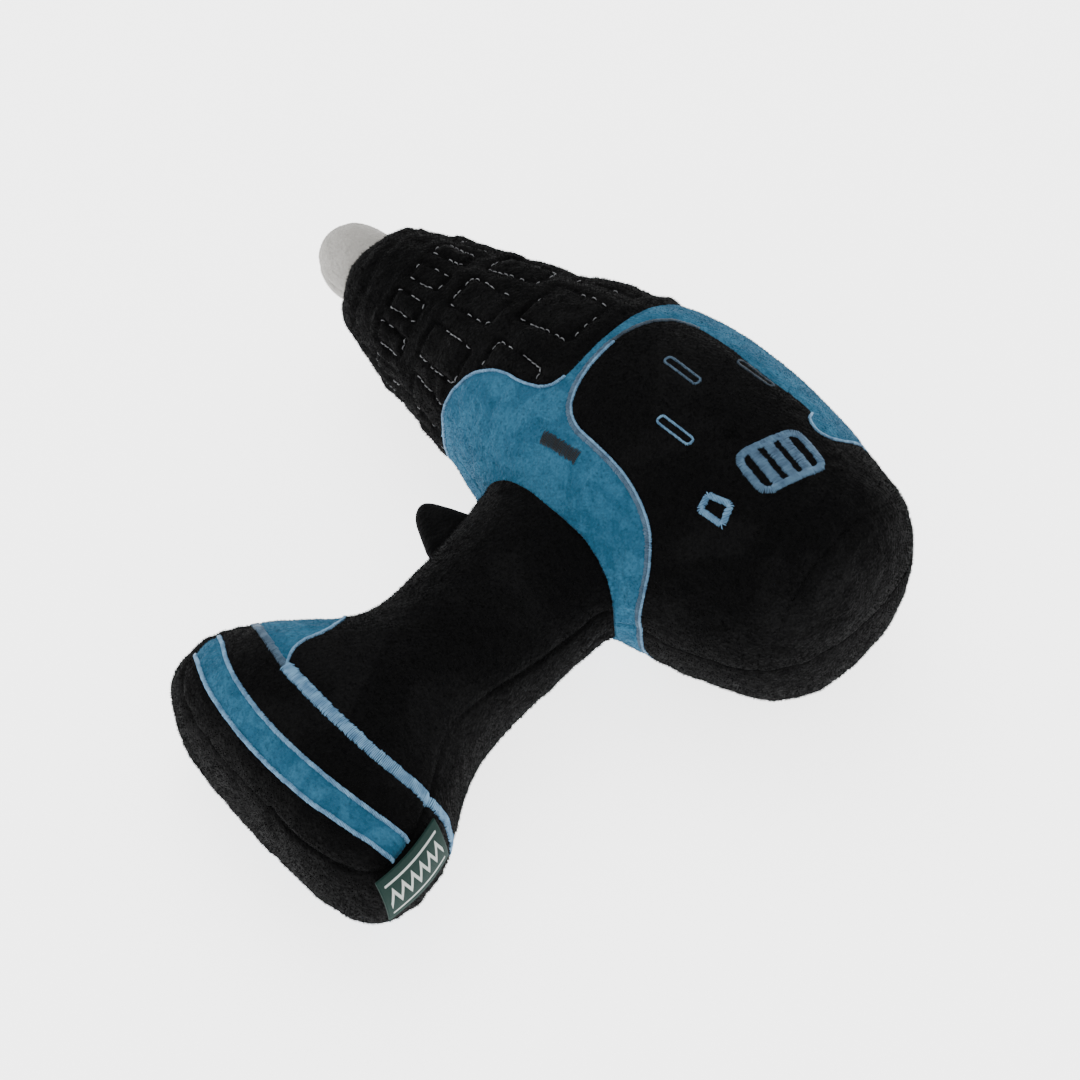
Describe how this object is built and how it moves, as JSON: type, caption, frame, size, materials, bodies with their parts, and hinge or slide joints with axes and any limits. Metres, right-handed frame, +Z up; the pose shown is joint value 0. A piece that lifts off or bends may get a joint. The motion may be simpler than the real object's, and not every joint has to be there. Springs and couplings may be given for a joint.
{
  "type": "plush toy power drill",
  "caption": "Soft stuffed toy cordless drill with a quilted chuck, embroidered motor cover, trigger fin, battery-shaped foot, side label and hidden squeaker.",
  "frame": {"origin": "centre of the bounding box, on the floor the toy lies on", "axes": "+X towards the rear of the drill body, +Y towards the top of the drill, +Z up as it lies on its right side"},
  "size_m": [0.2094, 0.2072, 0.0728],
  "materials": {
    "black_plush": "short brushed pile",
    "blue_plush": "short brushed pile",
    "grey_plush": "very short pile",
    "light_blue_thread": "satin-stitched thread",
    "black_thread": "satin-stitched thread",
    "polyester_stuffing": "loose fibre",
    "green_woven_label": "woven ribbon",
    "squeaker_vinyl": "soft, satin",
    "reed_plastic": "satin"
  },
  "bodies": {
    "toy": {"body_stuffing": "polyester_stuffing", "chuck_left": "black_plush", "chuck_right": "black_plush", "corner_stitch_left": "light_blue_thread", "corner_stitch_right": "light_blue_thread", "foot_corner_left": "blue_plush", "foot_corner_right": "blue_plush", "foot_gusset": "black_plush", "foot_lower_left": "black_plush", "foot_lower_right": "black_plush", "foot_stripe_left": "blue_plush", "foot_stripe_right": "blue_plush", "foot_upper_left": "black_plush", "foot_upper_right": "black_plush", "gearcase_front_border_left": "light_blue_thread", "gearcase_front_border_right": "light_blue_thread", "gearcase_left": "blue_plush", "gearcase_right": "blue_plush", "grip_left": "black_plush", "grip_right": "black_plush", "handle_gusset": "black_plush", "handle_stuffing": "polyester_stuffing", "motor_cover_border_left": "light_blue_thread", "motor_cover_border_right": "light_blue_thread", "motor_cover_left": "black_plush", "motor_cover_right": "black_plush", "nose_tip_left": "grey_plush", "nose_tip_right": "grey_plush", "notch_border_left": "light_blue_thread", "notch_border_right": "light_blue_thread", "rear_cap_left": "black_plush", "rear_cap_right": "black_plush", "satin_band_left": "light_blue_thread", "satin_band_rear": "light_blue_thread", "satin_band_right": "light_blue_thread", "side_mark_left": "black_thread", "side_mark_right": "black_thread", "slot_edge_left": "light_blue_thread", "slot_edge_right": "light_blue_thread", "slot_middle_left": "light_blue_thread", "slot_middle_right": "light_blue_thread", "slot_upper_left": "light_blue_thread", "slot_upper_right": "light_blue_thread", "squeaker_base": "squeaker_vinyl", "squeaker_bellows": "squeaker_vinyl", "squeaker_reed": "reed_plastic", "stripe_lower_border_left": "light_blue_thread", "stripe_lower_border_right": "light_blue_thread", "stripe_upper_border_left": "light_blue_thread", "stripe_upper_border_right": "light_blue_thread", "trapezoid_left": "light_blue_thread", "trapezoid_right": "light_blue_thread", "vent_grille_left": "light_blue_thread", "vent_grille_right": "light_blue_thread"},
    "trigger": {"trigger_skin_left": "black_plush", "trigger_skin_right": "black_plush", "trigger_fill": "polyester_stuffing"},
    "label": {"woven_label": "green_woven_label"},
    "squeaker_button": {"squeaker_top": "squeaker_vinyl"}
  },
  "joints": [
    {"name": "trigger_flex", "type": "hinge", "parent": "toy", "child": "trigger", "pos_m": [-0.00435, 0.0031, 0.03155], "axis": [0.0822, -0.993, -0.0849], "range_deg": [-35, 35], "stiffness_Nm_per_rad": 0.002},
    {"name": "label_flap", "type": "hinge", "parent": "toy", "child": "label", "pos_m": [0.06647, -0.08865, 0.03952], "axis": [0.07, -0.9941, -0.0825], "range_deg": [0, 95], "stiffness_Nm_per_rad": 0.0005},
    {"name": "squeaker_squeeze", "type": "slide", "parent": "toy", "child": "squeaker_button", "axis": [0, 0, -1], "range_m": [0, 0.008], "stiffness_N_per_m": 400, "deforming": ["squeaker_bellows"]}
  ]
}
